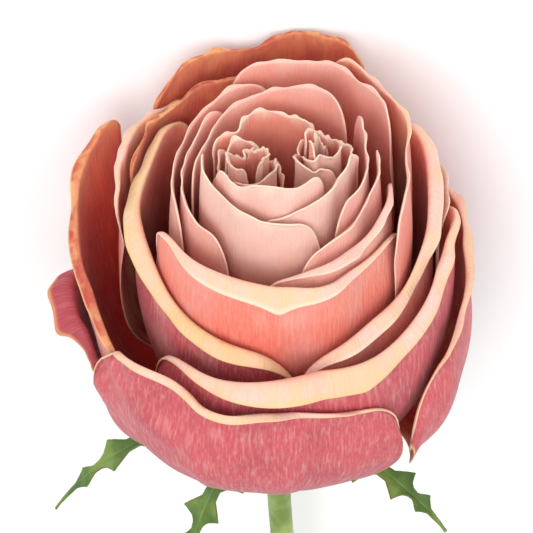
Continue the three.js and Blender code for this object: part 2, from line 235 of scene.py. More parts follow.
@dataclass(frozen=True)
class PetalFinish:
    """How one face of a family's petals is coloured, from the foot to the rim."""

    name: str
    foot: Colour
    face: Colour
    upper: Colour
    rim: Colour
    edge: Colour
    blush: Colour
    blush_amount: float
    vein: Colour
    vein_amount: float
    # How far up the face the dark foot colour is pushed: painted shade for faces set deep in the bloom.
    depth: float = 0.0
    roughness: float = 0.55

    # Each noise is its scale, its detail, how it is drawn out, and whether it follows the petal's map.
    CLOUD = (3.0, 4.0, (2.2, 1.4, 1.0), True)
    STREAK = (24.0, 8.0, (4.6, 0.5, 1.0), True)
    FINE = (70.0, 6.0, (3.4, 0.5, 1.0), True)
    PATCH = (4.0, 5.0, (1.6, 1.2, 1.0), True)
    BLOTCH = (11.0, 5.0, (2.4, 1.0, 1.0), True)
    CRINKLE = (260.0, 5.0, (1.0, 1.0, 1.0), False)
    # Each band is where a colour starts to take over and where it has done so, from the foot to the edge.
    FACE_BAND = (0.3, 0.62)
    UPPER_BAND = (0.56, 0.86)
    RIM_BAND = (0.88, 0.96)
    TOP_BAND = (0.88, 1.0)
    SIDE_BAND = (0.0, 0.1)
    TOP_LINE = (0.985, 0.997)
    SIDE_LINE = (0.004, 0.016)
    CLOUD_SHIFT = 0.14
    PATCH_SHARE = 0.7
    FINE_SHARE = 0.7
    SIDE_SHARE = 0.8
    LINE_SHARE = 0.7

    def make(self) -> bpy.types.Material:
        """Build the material.

        Returns:
            A material that reads the petal's own map: u across it and v from its foot to its edge.
        """
        g = Graph(self.name)
        u, v = g.along()
        cloud = g.noise(*self.CLOUD)
        streak = g.noise(*self.STREAK)
        fine = g.noise(*self.FINE)
        # The dark foot colour is partly the petal's own deeper base colour and partly painted shade for the
        # gaps deep in the bloom.
        reach = v - self.depth + (cloud - 0.5) * self.CLOUD_SHIFT
        colour = g.mix(reach.step(*self.FACE_BAND), self.foot, self.face)
        colour = g.mix(reach.step(*self.UPPER_BAND), colour, self.upper)
        colour = g.mix((reach + self.depth).step(*self.RIM_BAND), colour, self.rim)
        patch = g.noise(*self.PATCH).step(0.42, 0.66)
        colour = g.mix(patch * self.blush_amount * self.PATCH_SHARE, colour, self.blush)
        fine_veins = fine.step(0.46, 0.72) * (self.vein_amount * self.FINE_SHARE)
        veins = streak.step(0.44, 0.74) * self.vein_amount + fine_veins
        colour = g.mix(veins.held(), colour, self.vein)
        from_side = 1.0 - g.node("ShaderNodeMath", {"operation": "ABSOLUTE"}, {0: u - 0.5}) * 2.0
        near_top = v.step(*self.TOP_BAND)
        near_side = 1.0 - from_side.step(*self.SIDE_BAND)
        blotch = g.noise(*self.BLOTCH).step(0.42, 0.6)
        blushed = (near_top + near_side * self.SIDE_SHARE).held() * blotch * self.blush_amount
        colour = g.mix(blushed.held(), colour, self.blush)
        thin_line = (v.step(*self.TOP_LINE) + (1.0 - from_side.step(*self.SIDE_LINE))).held()
        colour = g.mix(thin_line * self.LINE_SHARE, colour, self.edge)
        g.set(
            Base_Color=colour,
            Roughness=self.roughness,
            Subsurface_Weight=0.12,
            Subsurface_Radius=(1.0, 0.35, 0.22),
            Subsurface_Scale=0.0022,
            Specular_IOR_Level=0.28,
            Sheen_Weight=0.1,
            Sheen_Roughness=0.45,
        )
        crinkle = g.noise(*self.CRINKLE)
        g.bump(streak * 0.9 + fine * 0.5 + cloud * 0.8 + crinkle * 0.9, 0.6, 0.0005)
        return g.material


@dataclass(frozen=True)
class GreenFinish:
    """The green of stem, hip or sepals, with browned edges on the sepals."""

    name: str
    dark: Colour
    light: Colour
    edge: Colour
    edge_amount: float
    rib: float
    roughness: float = 0.5

    CLOUD = (140.0, 4.0, (1.0, 1.0, 1.0), False)
    GRAIN = (40.0, 4.0, (3.0, 0.4, 1.0), True)
    MIDRIB_WIDTH = 0.045
    EDGE_BAND = (0.42, 0.5)
    GRAIN_SHARE = 0.35

    def make(self) -> bpy.types.Material:
        """Build the material: green clouds, a pale midrib or fine ribs, and browned edges."""
        g = Graph(self.name)
        u, _ = g.along()
        cloud = g.noise(*self.CLOUD)
        grain = g.noise(*self.GRAIN)
        colour = g.mix(cloud.step(0.35, 0.68), self.dark, self.light)
        colour = g.mix(grain.step(0.45, 0.75) * self.GRAIN_SHARE, colour, self.light)
        off_middle = g.node("ShaderNodeMath", {"operation": "ABSOLUTE"}, {0: u - 0.5})
        midrib = 1.0 - off_middle.step(0.0, self.MIDRIB_WIDTH)
        colour = g.mix(midrib * self.rib, colour, self.light)
        browned = off_middle.step(*self.EDGE_BAND) * cloud.step(0.4, 0.6) * self.edge_amount
        colour = g.mix(browned.held(), colour, self.edge)
        g.set(Base_Color=colour, Roughness=self.roughness, Subsurface_Weight=0.08, Subsurface_Scale=0.002)
        g.bump(grain + cloud * 0.6 - midrib * self.rib, 0.4, 0.0004)
        return g.material


PALE_PEACH = srgb(252, 220, 202)
CREAM = srgb(246, 218, 194)
SHELL_PINK = srgb(244, 196, 182)
PEACH_PINK = srgb(246, 178, 162)
SALMON = srgb(242, 150, 132)
CORAL = srgb(234, 116, 98)
BRICK = srgb(208, 84, 60)
# Deep red for petal feet: partly the petals' own colour, partly painted shade in the gaps deep in the bloom.
BLOOD = srgb(186, 36, 24)
ROSE = srgb(200, 84, 94)
MAUVE = srgb(172, 76, 88)
PALE_MAUVE = srgb(230, 164, 158)
TAN = srgb(230, 168, 112)
APRICOT = srgb(236, 160, 116)
YELLOW_TAN = srgb(230, 192, 138)
CRIMSON = srgb(176, 44, 56)

# Where a finish has a tenth value, it pushes the dark foot colour further up that face as painted shade deep
# in the bloom.
FINISHES = {
    (Family.HEART, Side.INNER): PetalFinish(
        "heart_inner", BRICK, CORAL, SALMON, PALE_PEACH, CREAM, APRICOT, 0.15, PALE_PEACH, 0.12
    ),
    (Family.HEART, Side.OUTER): PetalFinish(
        "heart_outer", CORAL, SALMON, SHELL_PINK, PALE_PEACH, CREAM, SHELL_PINK, 0.2, CREAM, 0.15
    ),
    (Family.CUP, Side.INNER): PetalFinish(
        "cup_inner", BLOOD, CORAL, PEACH_PINK, SHELL_PINK, CREAM, SALMON, 0.15, SHELL_PINK, 0.15, 0.1
    ),
    (Family.CUP, Side.OUTER): PetalFinish(
        "cup_outer", BRICK, CORAL, PEACH_PINK, SHELL_PINK, CREAM, PALE_MAUVE, 0.4, PALE_PEACH, 0.2
    ),
    (Family.WRAP, Side.INNER): PetalFinish(
        "wrap_inner", BLOOD, BRICK, SALMON, SHELL_PINK, CREAM, YELLOW_TAN, 0.5, SHELL_PINK, 0.15, 0.16
    ),
    (Family.WRAP, Side.OUTER): PetalFinish(
        "wrap_outer", BLOOD, CORAL, SALMON, PALE_MAUVE, CREAM, PALE_MAUVE, 0.6, SHELL_PINK, 0.24, 0.1
    ),
    (Family.GOLD, Side.INNER): PetalFinish(
        "gold_inner", BLOOD, BRICK, SALMON, YELLOW_TAN, YELLOW_TAN, SHELL_PINK, 0.4, SHELL_PINK, 0.15, 0.16
    ),
    (Family.GOLD, Side.OUTER): PetalFinish(
        "gold_outer", BLOOD, ROSE, ROSE, PALE_MAUVE, YELLOW_TAN, PALE_MAUVE, 0.6, SHELL_PINK, 0.26, 0.1
    ),
    (Family.TAN, Side.INNER): PetalFinish(
        "tan_inner", BLOOD, BRICK, APRICOT, TAN, YELLOW_TAN, CRIMSON, 0.8, SALMON, 0.15, 0.16
    ),
    (Family.TAN, Side.OUTER): PetalFinish(
        "tan_outer", MAUVE, ROSE, PALE_MAUVE, APRICOT, YELLOW_TAN, CRIMSON, 0.7, SHELL_PINK, 0.2
    ),
    # Both brown faces are one dark mauve: partly the petal's own colour, partly painted shade taken from its
    # shaded inner face.
    (Family.BROWN, Side.INNER): PetalFinish(
        "brown_inner", MAUVE, MAUVE, MAUVE, MAUVE, TAN, CRIMSON, 0.3, PALE_MAUVE, 0.2
    ),
    (Family.BROWN, Side.OUTER): PetalFinish(
        "brown_outer", MAUVE, MAUVE, MAUVE, MAUVE, TAN, CRIMSON, 0.3, PALE_MAUVE, 0.2
    ),
    (Family.GUARD, Side.INNER): PetalFinish(
        "guard_inner", BLOOD, BRICK, CORAL, SHELL_PINK, YELLOW_TAN, YELLOW_TAN, 0.5, SALMON, 0.15, 0.16
    ),
    (Family.GUARD, Side.OUTER): PetalFinish(
        "guard_outer", MAUVE, ROSE, ROSE, MAUVE, YELLOW_TAN, MAUVE, 0.8, SHELL_PINK, 0.26
    ),
}
LEAF_GREEN = GreenFinish("sepal_green", srgb(66, 104, 34), srgb(124, 156, 66), srgb(112, 66, 40), 0.9, 0.8)
STEM_GREEN = GreenFinish("stem_green", srgb(112, 136, 60), srgb(164, 184, 104), srgb(120, 90, 60), 0.0, 0.0)


@dataclass(frozen=True)
class Sizes:
    """The rose's driving sizes in millimetres, as its CAD model has them."""

    bloom_width: float = 84.0
    bloom_height: float = 70.0
    petal_thickness: float = 0.35
    petal_gap: float = 0.4
    claw_width_share: float = 0.3
    hip_length: float = 20.0
    hip_radius: float = 6.4
    neck_length: float = 22.0
    neck_radius: float = 4.8
    stem_radius: float = 2.6
    cut_end_radius: float = 2.9
    stem_length: float = 140.0
    stem_bow: float = 3.0
    sepal_thickness: float = 0.7
    touch_gap: float = 0.3
    dome_top: float = 6.0
    dome_foot: float = -6.0
    dome_top_radius: float = 1.6
    cup_radius: float = 11.5
    front_fall: float = 31.0
    fall_power: float = 1.5

    @property
    def dome_foot_radius(self) -> float:
        """The dome's radius where it meets the hip."""
        return self.hip_radius - 0.6

    @property
    def guard_radius(self) -> float:
        """The rim radius of the outermost petals."""
        return self.bloom_width / 2 - 4

    @property
    def stand_height(self) -> float:
        """How high the petals stand at the back."""
        return self.bloom_height - 4

    @property
    def rest_radius(self) -> float:
        """How far from the axis the back petal presses on the surface."""
        return self.guard_radius - 4

    @property
    def rest_height(self) -> float:
        """How far up the bloom the back petal presses on the surface."""
        return self.bloom_height - 10

    @property
    def tilt(self) -> float:
        """The tilt, in radians, that brings the cut end down to the surface."""
        foot = self.hip_length + self.neck_length + self.stem_length
        return math.atan2(self.rest_radius - self.cut_end_radius, self.rest_height + foot)


SIZES = Sizes()


class Lying:
    """Lays the upright rose down on its back, as the CAD model is laid."""

    def __init__(self, sizes: Sizes) -> None:
        """Work out the turn, and the shift that brings the stem's cut end to its place in the frame."""
        self.sizes = sizes
        self.shift = np.zeros(3)
        end = -(sizes.hip_length + sizes.touch_gap + sizes.neck_length + sizes.stem_length)
        r = sizes.cut_end_radius
        corners = self.place(np.array([[-r, 0, end], [r, 0, end], [0, -r, end], [0, r, end]]))
        low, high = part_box("stem")
        hip_low, hip_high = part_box("hip")
        wanted = np.array([(hip_low.x + hip_high.x) / 2, high.y, low.z]) / MILLIMETRE
        self.shift = wanted - np.array([0.0, corners[:, 1].max(), corners[:, 2].min()])

    def turn(self, points: np.ndarray) -> np.ndarray:
        """Turn directions from the upright rose to the lying one."""
        along, above = -points[..., 2], -points[..., 1]
        t = self.sizes.tilt
        y = along * math.cos(t) + above * math.sin(t)
        z = above * math.cos(t) - along * math.sin(t)
        return np.stack([-points[..., 0], y, z], axis=-1)

    def place(self, points: np.ndarray) -> np.ndarray:
        """Place points of the upright rose, in millimetres, where they lie."""
        middle = np.array([0.0, self.sizes.rest_radius, self.sizes.rest_height])
        return self.turn(points - middle) + self.shift


class Wrap:
    """The radius that the petals made so far reach to, by azimuth and height."""

    COLUMNS = 180
    ROWS = 120
    LOWEST = -18.0
    HEADROOM = 32.0
    SIDE_SPREAD = 3
    HEIGHT_SPREAD = 2
    SOFTENED = 2
    SAMPLES = 4

    def __init__(self, sizes: Sizes) -> None:
        """Start with nothing inside."""
        self.sizes = sizes
        self.row_height = (sizes.bloom_height + self.HEADROOM) / self.ROWS
        self.reach = np.zeros((self.ROWS, self.COLUMNS))
        self.widened = np.zeros((self.ROWS, self.COLUMNS))

    def add(self, surface: np.ndarray) -> None:
        """Note a petal's middle surface.

        Args:
            surface: Rows by columns of points, in the upright frame.
        """
        for i in range(self.SAMPLES):
            for j in range(self.SAMPLES):
                a, b = i / self.SAMPLES, j / self.SAMPLES
                low = surface[:-1, :-1] * (1 - a) + surface[:-1, 1:] * a
                high = surface[1:, :-1] * (1 - a) + surface[1:, 1:] * a
                points = (low * (1 - b) + high * b).reshape(-1, 3)
                turn = np.arctan2(points[:, 1], points[:, 0]) / (2 * math.pi)
                column = np.floor((turn + 1) * self.COLUMNS).astype(int) % self.COLUMNS
                row = np.floor((points[:, 2] - self.LOWEST) / self.row_height).astype(int)
                row = np.clip(row, 0, self.ROWS - 1)
                out = np.hypot(points[:, 0], points[:, 1]) + self.sizes.petal_thickness / 2
                np.maximum.at(self.reach, (row, column), out)
        self._settle()

    def _settle(self) -> None:
        """Spread each cell's reach to its neighbours and soften the change."""
        wide = self.reach.copy()
        for side in range(-self.SIDE_SPREAD, self.SIDE_SPREAD + 1):
            for down in range(-self.HEIGHT_SPREAD, self.HEIGHT_SPREAD + 1):
                moved = np.roll(self.reach, (down, side), axis=(0, 1))
                wide = np.maximum(wide, moved)
        soft = np.zeros_like(wide)
        for side in range(-self.SOFTENED, self.SOFTENED + 1):
            soft += np.roll(wide, side, axis=1) / (2 * self.SOFTENED + 1)
        self.widened = np.where(wide > 0, soft, 0)

    def outside(self, azimuth: np.ndarray, height: np.ndarray) -> np.ndarray:
        """Return the least radius of the next petal's middle surface."""
        across = azimuth / 360 * self.COLUMNS - 0.5
        up = np.clip((height - self.LOWEST) / self.row_height - 0.5, 0, self.ROWS - 2)
        column, row = np.floor(across).astype(int), np.floor(up).astype(int)
        a, b = across - column, up - row
        left, right = column % self.COLUMNS, (column + 1) % self.COLUMNS
        below = self.widened[row, left] * (1 - a) + self.widened[row, right] * a
        above = self.widened[row + 1, left] * (1 - a) + self.widened[row + 1, right] * a
        reach = below * (1 - b) + above * b
        return np.where(reach > 0, reach + self.sizes.petal_thickness / 2 + self.sizes.petal_gap, 0)


@dataclass(frozen=True)
class Axis:
    """The line that a group of petals stands round, which may lean as it rises."""

    foot: tuple[float, float] = (0.0, 0.0)
    head: tuple[float, float] = (0.0, 0.0)
    lean_height: float = 1.0

    def middle(self, height: np.ndarray) -> tuple[np.ndarray, np.ndarray]:
        """Return the axis at a height."""
        lean = ease(height / self.lean_height)
        x = self.foot[0] + (self.head[0] - self.foot[0]) * lean
        y = self.foot[1] + (self.head[1] - self.foot[1]) * lean
        return x, y


@dataclass
class Petal:
    """One petal: where it stands, how wide and high it is, and how its lip rolls."""

    name: str
    azimuth: float
    span: float
    lift: float
    tilt: float
    lip: tuple[float, float]
    family: Family
    wave: float = 0.5
    tip: float = 0.0
    shoulder: tuple[float, float] = (0.72, 13.0)
    flare: float = 1.0
    radius: float = 0.0
    spiral: float = 0.0
    claw: tuple[float, float] = (0.0, 0.0)
    floor: float = 0.0
    seed: int = 0
    top: Callable[[np.ndarray], np.ndarray] = field(default=lambda azimuth: azimuth * 0)

    WALL_ROWS = 30
    LIP_ROWS = 8
    LEAST_COLUMNS = 32
    COLUMN_WIDTH = 1.9
    WAVE_HEIGHT = 1.6
    WAVE_DEPTH = 0.8
    BELLY_LOW = 1.14
    BELLY_HIGH = 1.12
    BELLY_SAG = 0.1
    BELLY_RISE = 0.62
    LEAST_BELLY_RISE = 16.0
    OPENED_BY = 0.6
    UNDER_SHARE = 2 / 5
    WRAP_SOFTNESS = 0.8
    LIP_KEPT = 0.2
    LIP_FLARE = 1.3
    LIP_LIFT = 0.6
    LIP_CREST = 0.3
    LIP_SKEW = 0.7
    LIP_TUCK = 0.1
    TIP_WIDTH = 0.1
    TIP_REACH = 0.5
    QUICK_RUFFLE = 0.4
    FINE_RUFFLE = 0.22
    CREASE_WAVE = 0.8
    CREASE_RANGE = 0.4

    @property
    def slot(self) -> str:
        """Return a material slot name, chosen by the petal's family and name."""
        if self.family is Family.HEART:
            return "heart_petal"
        outer = self.name.startswith(("petal_guard", "petal_shoulder"))
        return "guard_petal" if outer else "cup_petal"

    def _wobble(self, across: np.ndarray, slowest: int, quickest: int) -> np.ndarray:
        """Return a smooth uneven line from -1 to 1 that is this petal's own."""
        draw = np.random.default_rng(self.seed * 17 + slowest)
        line = np.zeros_like(across)
        for beat in range(slowest, quickest + 1):
            line += np.sin(across * beat * math.pi / 2 + draw.uniform(0, 6.28)) / beat**0.7
        return line / np.abs(line).max()

    def _crumple(self, across: np.ndarray, rise: np.ndarray) -> np.ndarray:
        """Return how far a petal bulges or sinks over its face: long soft creases, strongest near the rim."""
        draw = np.random.default_rng(self.seed * 31 + 5)
        total = 0 * across * rise
        for beat in range(1, 7):
            phase, slant = draw.uniform(0, 6.28), draw.uniform(-2.5, 2.5)
            total = total + np.sin(across * beat * 2.4 + rise * slant + phase) / beat
        folds = np.abs(np.sin(across * 4.2 + draw.uniform(0, 6.28) + rise * draw.uniform(-1.5, 1.5))) ** 0.7
        sharp = (folds - 0.7) * ease((self.wave - self.CREASE_WAVE) / self.CREASE_RANGE)
        return (0.6 * total + 0.9 * sharp) * ease(rise / 0.7)

    def surface(self, wrap: Wrap, axis: Axis, sizes: Sizes) -> np.ndarray:
        """Shape the middle surface over the petals inside it.

        Args:
            wrap: What the petals inside reach to.
            axis: The line the petal stands round.
            sizes: The rose's sizes.

        Returns:
            Rows by columns of points in the upright frame, from the claw over the lip.
        """
        columns = max(self.LEAST_COLUMNS, int(self.span / self.COLUMN_WIDTH))
        wall_rows, lip_rows = self.WALL_ROWS, self.LIP_ROWS
        across = np.linspace(-1, 1, columns)[None, :]
        start, drop = self.shoulder
        edge = np.clip((np.abs(across) - start) / (1 - start), 0, 1)
        rim_azimuth = self.azimuth + across * self.span / 2
        fall = drop * (1 - np.sqrt(np.maximum(1 - edge**2, 0)))
        slow = self._wobble(across, 2, 5)
        quick = self._wobble(across, 7, 15)
        rim_height = self.top(rim_azimuth) + self.tilt * across - fall + self.wave * self.WAVE_HEIGHT * slow
        rim_radius = self.radius + self.spiral * (across + 1) / 2 + 0 * across
        t = np.linspace(0, 1, wall_rows)[:, None]
        s = 1 - t
        weights = (s**3, 3 * s * s * t, 3 * s * t * t, t**3)
        low_belly, high_belly = rim_radius * self.BELLY_LOW, rim_radius * self.BELLY_HIGH
        out = (self.claw[0], low_belly, high_belly, rim_radius * self.flare)
        belly = np.maximum(rim_height * self.BELLY_RISE, self.LEAST_BELLY_RISE)
        up = (self.claw[1], self.claw[1] - rim_radius * self.BELLY_SAG, belly, rim_height)
        radius = sum(w * o for w, o in zip(weights, out))
        height = sum(w * h for w, h in zip(weights, up))
        opened = sizes.claw_width_share + (1 - sizes.claw_width_share) * ease(t / self.OPENED_BY)
        azimuth = self.azimuth + (rim_azimuth - self.azimuth) * opened
        under = self.UNDER_SHARE
        row = int(round(under * (wall_rows - 1)))
        push = np.maximum(wrap.outside(azimuth[row], height[row]) / radius[row], 1)[None, :]
        pushed = radius * (1 + (push - 1) * ease(t / under))
        clear = smooth_most(radius, wrap.outside(azimuth, height), self.WRAP_SOFTNESS)
        blend = ease((t - under * 0.8) / (under * 0.4))
        radius = pushed * (1 - blend) + np.maximum(clear, radius) * blend
        radius = radius + self.wave * (self.WAVE_DEPTH * slow * t**5 + self._crumple(across, t))
        radius = np.where(t > under, np.maximum(radius, wrap.outside(azimuth, height)), radius)
        lip_share = np.linspace(0, 1, lip_rows + 1)[1:, None]
        fade = self.LIP_KEPT + (1 - self.LIP_KEPT) * (1 - across**2)
        point = self.tip * np.exp(-np.abs(across) / self.TIP_WIDTH)
        roll = self.lip[0] * fade * (1 + 0.5 * slow)
        lip_out = roll * lip_share**self.LIP_FLARE + point * self.TIP_REACH * lip_share
        crest = np.maximum(roll - 1, 0) * self.LIP_CREST * np.sin(math.pi * lip_share**self.LIP_SKEW)
        rise = self.LIP_LIFT * lip_share + crest - (self.lip[1] * fade + point) * lip_share**2
        fine = self._wobble(across, 15, 26)
        ragged = (quick * self.QUICK_RUFFLE + fine * self.FINE_RUFFLE) * self.wave * lip_share
        lip_height = rim_height + rise + ragged
        lip_azimuth = rim_azimuth + 0 * lip_share
        least = wrap.outside(lip_azimuth, lip_height)
        lip_radius = radius[-1:] + lip_out + ragged
        softened = smooth_most(lip_radius, least, self.WRAP_SOFTNESS) - self.LIP_TUCK
        lip_radius = np.maximum(softened, lip_radius)
        azimuth = np.radians(np.vstack([azimuth, lip_azimuth]))
        radius = np.vstack([radius, lip_radius])
        height = np.vstack([height, lip_height])
        x, y = axis.middle(height)
        return np.stack([x + radius * np.cos(azimuth), y + radius * np.sin(azimuth), height], axis=-1)


def deselect() -> None:
    """Leave object mode clean, with nothing selected."""
    if bpy.context.object and bpy.context.object.mode != "OBJECT":
        bpy.ops.object.mode_set(mode="OBJECT")
    bpy.ops.object.select_all(action="DESELECT")


def apply_modifiers(piece: bpy.types.Object) -> None:
    """Apply all of a piece's modifiers in order."""
    deselect()
    piece.select_set(True)
    bpy.context.view_layer.objects.active = piece
    for modifier in list(piece.modifiers):
        bpy.ops.object.modifier_apply(modifier=modifier.name)


def surface_piece(name: str, surface: np.ndarray, marks: np.ndarray) -> bpy.types.Object:
    """Turn rows of points into a mesh by shaping a grid.

    Args:
        name: The piece's name.
        surface: Rows by columns of points, in metres.
        marks: Where each row is on the map, from 0 to 1.

    Returns:
        The piece, with a map that runs 0 to 1 across and up it.
    """
    rows, columns = surface.shape[:2]
    deselect()
    bpy.ops.mesh.primitive_grid_add(x_subdivisions=columns - 1, y_subdivisions=rows - 1, size=2)
    piece = bpy.context.object
    piece.name = piece.data.name = name
    flat = np.empty(len(piece.data.vertices) * 3)
    piece.data.vertices.foreach_get("co", flat)
    flat = flat.reshape(-1, 3)
    column = np.rint((flat[:, 0] + 1) / 2 * (columns - 1)).astype(int)
    row = np.rint((flat[:, 1] + 1) / 2 * (rows - 1)).astype(int)
    piece.data.vertices.foreach_set("co", surface[row, column].ravel())
    corner = np.empty(len(piece.data.loops), dtype=int)
    piece.data.loops.foreach_get("vertex_index", corner)
    uv = np.stack([column[corner] / (columns - 1), marks[row[corner]]], axis=-1)
    piece.data.uv_layers["UVMap"].data.foreach_set("uv", uv.ravel())
    piece.data.update()
    return piece


def thicken(piece: bpy.types.Object, thickness: float, levels: int, second_slot: int) -> None:
    """Give a surface its thickness and a round edge.

    Args:
        piece: The surface.
        thickness: In metres.
        levels: How often it is subdivided.
        second_slot: Which material slot the far face takes.
    """
    wall = piece.modifiers.new("wall", "SOLIDIFY")
    wall.thickness = thickness
    wall.offset = 0
    wall.material_offset = second_slot
    wall.material_offset_rim = second_slot
    soft = piece.modifiers.new("soft", "SUBSURF")
    soft.levels = soft.render_levels = levels
    apply_modifiers(piece)
    piece.data.polygons.foreach_set("use_smooth", [True] * len(piece.data.polygons))
    piece.data.update()


class Bloom:
    """All the petals, built from the inside out, each wrapped over those before it."""

    RESTING = "petal_guard_back"
    REST_SHARE = 0.6
    REST_SOFTNESS = 0.15
    LIP_MARK = 0.92
    MIDDLE_HEIGHT = 30.0
    GOLDEN_TURN = 137.5
    SWIRL_SPAN = 205.0
    SWIRL_TILT = 1.5
    SWIRL_LIP = (0.3, 0.1)
    SWIRL_WAVE = 0.95
    SWIRL_FLARE = 0.9
    SWIRL_SPIRAL = 0.9
    SWIRL_CLAW = 1.1
    SWIRL_CLAW_LIFT = 4.0
    SWIRL_CLAW_STEP = 0.8
    SWIRL_LEAN_SHARE = 0.4
    SWIRL_SEED = 100

    def __init__(self, sizes: Sizes, lying: Lying) -> None:
        """Draw up the petals' plans."""
        self.sizes = sizes
        self.lying = lying
        self.wrap = Wrap(sizes)
        self.materials = {key: finish.make() for key, finish in FINISHES.items()}

    def plans(self) -> list[Petal]:
        """Return the cup and guard petals from the inside out."""
        heart, cup, wrap, gold = Family.HEART, Family.CUP, Family.WRAP, Family.GOLD
        tan, brown, guard = Family.TAN, Family.BROWN, Family.GUARD
        side = (0.72, 7.0)
        return [
            Petal("petal_heart_inner_back", 100, 130, -4, 0, (0.2, 0.1), heart, 0.9),
            Petal("petal_heart_inner_front", 255, 120, -1, 3, (0.2, 0.1), heart, 0.9),
            Petal("petal_heart_front", 304, 110, -3, 4, (0.3, 0.1), heart, 0.6),
            Petal("petal_heart_left", 235, 130, -4, -3, (0.3, 0.1), heart, 0.6),
            Petal("petal_cup_back", 110, 160, -3, -5, (0.3, 0.1), cup, 0.5),
            Petal("petal_cup_right", 350, 90, -1, 2, (0.3, 0.1), cup, 0.5),
            Petal("petal_cup_left", 180, 120, -7, -3, (0.3, 0.1), cup, 0.6),
            Petal("petal_fold_right", 324, 90, -3, 5, (0.5, 0.1), cup, 0.6),
            Petal("petal_cup_outer_left", 150, 120, -6, -3, (0.4, 0.1), cup, 0.6),
            Petal("petal_cup_front", 308, 100, -5, 4, (1.6, 0.6), cup, 0.7, tip=1.0),
            Petal("petal_back_main", 66, 108, 1, -4, (0.4, 0.1), cup, 0.7),
            Petal("petal_front_broad", 270, 150, -5, 0, (2.8, 1.6), wrap, 0.8, tip=2.5),
            Petal("petal_back_right", 19, 102, 2, 0, (0.6, 0.2), wrap, 0.7),
            Petal("petal_wrap_left", 205, 150, -13, -8, (3.8, 2.2), gold, 0.9),
            Petal("petal_back_left", 125, 85, -5, 0, (0.8, 0.3), tan, 0.9),
            Petal("petal_wrap_right", 335, 125, -10, 7, (3.4, 2.0), wrap, 0.9),
            Petal("petal_shoulder_left", 153, 56, -6, 0, (1.6, 0.8), wrap, 0.9),
            Petal("petal_shoulder_right", 24, 60, -8, 0, (0.8, 0.3), wrap, 0.9),
            Petal("petal_guard_back", 98, 85, -1, 0, (0.8, 0.3), tan, 1.0),
            Petal("petal_guard_front", 296, 150, -8, 3, (3.8, 2.6), guard, 1.2, tip=1.5),
            Petal("petal_guard_left", 196, 100, -14, -11, (2.0, 1.2), tan, 1.2, shoulder=side, flare=1.12),
            Petal("petal_guard_point", 190, 40, -27, 0, (4.0, 0.4), brown, 1.0, tip=4.0, shoulder=side),
            Petal("petal_guard_low", 258, 104, -7, 0, (1.6, 1.2), guard, 1.9, shoulder=(0.3, 22.0)),
            Petal("petal_guard_under", 2, 100, -16, 0, (1.2, 0.4), guard, 1.2, tip=1.5),
        ]

    def _finish_petal(self, petal: Petal, surface: np.ndarray) -> None:
        """Lay a petal down, thicken it, dress it and put it in its node's place."""
        laid = self.lying.place(surface)
        least = petal.floor + self.sizes.petal_thickness * self.REST_SHARE
        laid[..., 2] = smooth_most(laid[..., 2], np.full_like(laid[..., 2], least), self.REST_SOFTNESS)
        wall_marks = np.linspace(0, self.LIP_MARK, Petal.WALL_ROWS)
        lip_marks = np.linspace(self.LIP_MARK, 1, Petal.LIP_ROWS + 1)[1:]
        marks = np.concatenate([wall_marks, lip_marks])
        piece = surface_piece(petal.name + "_soft", laid * MILLIMETRE, marks)
        middle = self.lying.place(np.array([[0.0, 0.0, self.MIDDLE_HEIGHT]]))[0] * MILLIMETRE
        self._face_outwards(piece, Vector(middle))
        for side in (Side.OUTER, Side.INNER):
            piece.data.materials.append(self.materials[(petal.family, side)])
        thicken(piece, self.sizes.petal_thickness * MILLIMETRE, 1, 1)
        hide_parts(petal.name)
        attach(piece, BODY)
        log.info("%s: %d faces", petal.name, len(piece.data.polygons))

    @staticmethod
    def _face_outwards(piece: bpy.types.Object, middle: Vector) -> None:
        """Turn a petal's faces away from the bloom's middle."""
        away = sum((p.center - middle).dot(p.normal) * p.area for p in piece.data.polygons)
        if away < 0:
            piece.data.flip_normals()

    def build(self) -> None:
        """Build the swirls and then the petals round them."""
        sizes = self.sizes
        swirls = (
            ("petal_swirl_left", 5, (-4.6, 0), (-5, -0.5), 2.0, 1.15, 62, 20),
            ("petal_swirl_right", 4, (6, 0), (8.6, 0.5), 1.8, 1.1, 65, 150),
        )
        for name, count, foot, head, inner, step, height, turn in swirls:
            axis = Axis(foot, head, sizes.bloom_height * self.SWIRL_LEAN_SHARE)
            own = Wrap(sizes)
            for i in range(count):
                azimuth = turn + i * self.GOLDEN_TURN
                petal = Petal(
                    f"{name}_{i + 1}",
                    azimuth,
                    self.SWIRL_SPAN,
                    0,
                    self.SWIRL_TILT,
                    self.SWIRL_LIP,
                    Family.HEART,
                    self.SWIRL_WAVE,
                    flare=self.SWIRL_FLARE,
                )
                petal.radius = inner + i * step
                petal.spiral = step * self.SWIRL_SPIRAL
                claw_height = sizes.dome_top + self.SWIRL_CLAW_LIFT - self.SWIRL_CLAW_STEP * i
                petal.claw = (self.SWIRL_CLAW, claw_height)
                petal.top = lambda azimuth, level=height - i: level + 0 * azimuth
                petal.seed = self.SWIRL_SEED + i + turn
                surface = petal.surface(own, axis, sizes)
                self._finish_petal(petal, surface)
                x, y = axis.middle(surface[..., 2])
                own.add(surface - np.stack([x, y, 0 * x], axis=-1))
                self.wrap.add(surface)
        plans = self.plans()
        resting = next(i for i, petal in enumerate(plans) if petal.name == self.RESTING)
        for i, petal in enumerate(plans):
            layer = i / (len(plans) - 1)
            petal.seed = i
            petal.radius = sizes.cup_radius + (sizes.guard_radius - sizes.cup_radius) * layer
            spread = sizes.dome_foot_radius - sizes.dome_top_radius
            claw_gap = 2 * sizes.touch_gap + sizes.petal_thickness
            claw_radius = sizes.dome_top_radius + spread * layer + claw_gap
            petal.claw = (claw_radius, sizes.dome_top + (sizes.dome_foot - sizes.dome_top) * layer)
            petal.floor = max(resting - i, 0) * (sizes.petal_thickness + sizes.touch_gap)
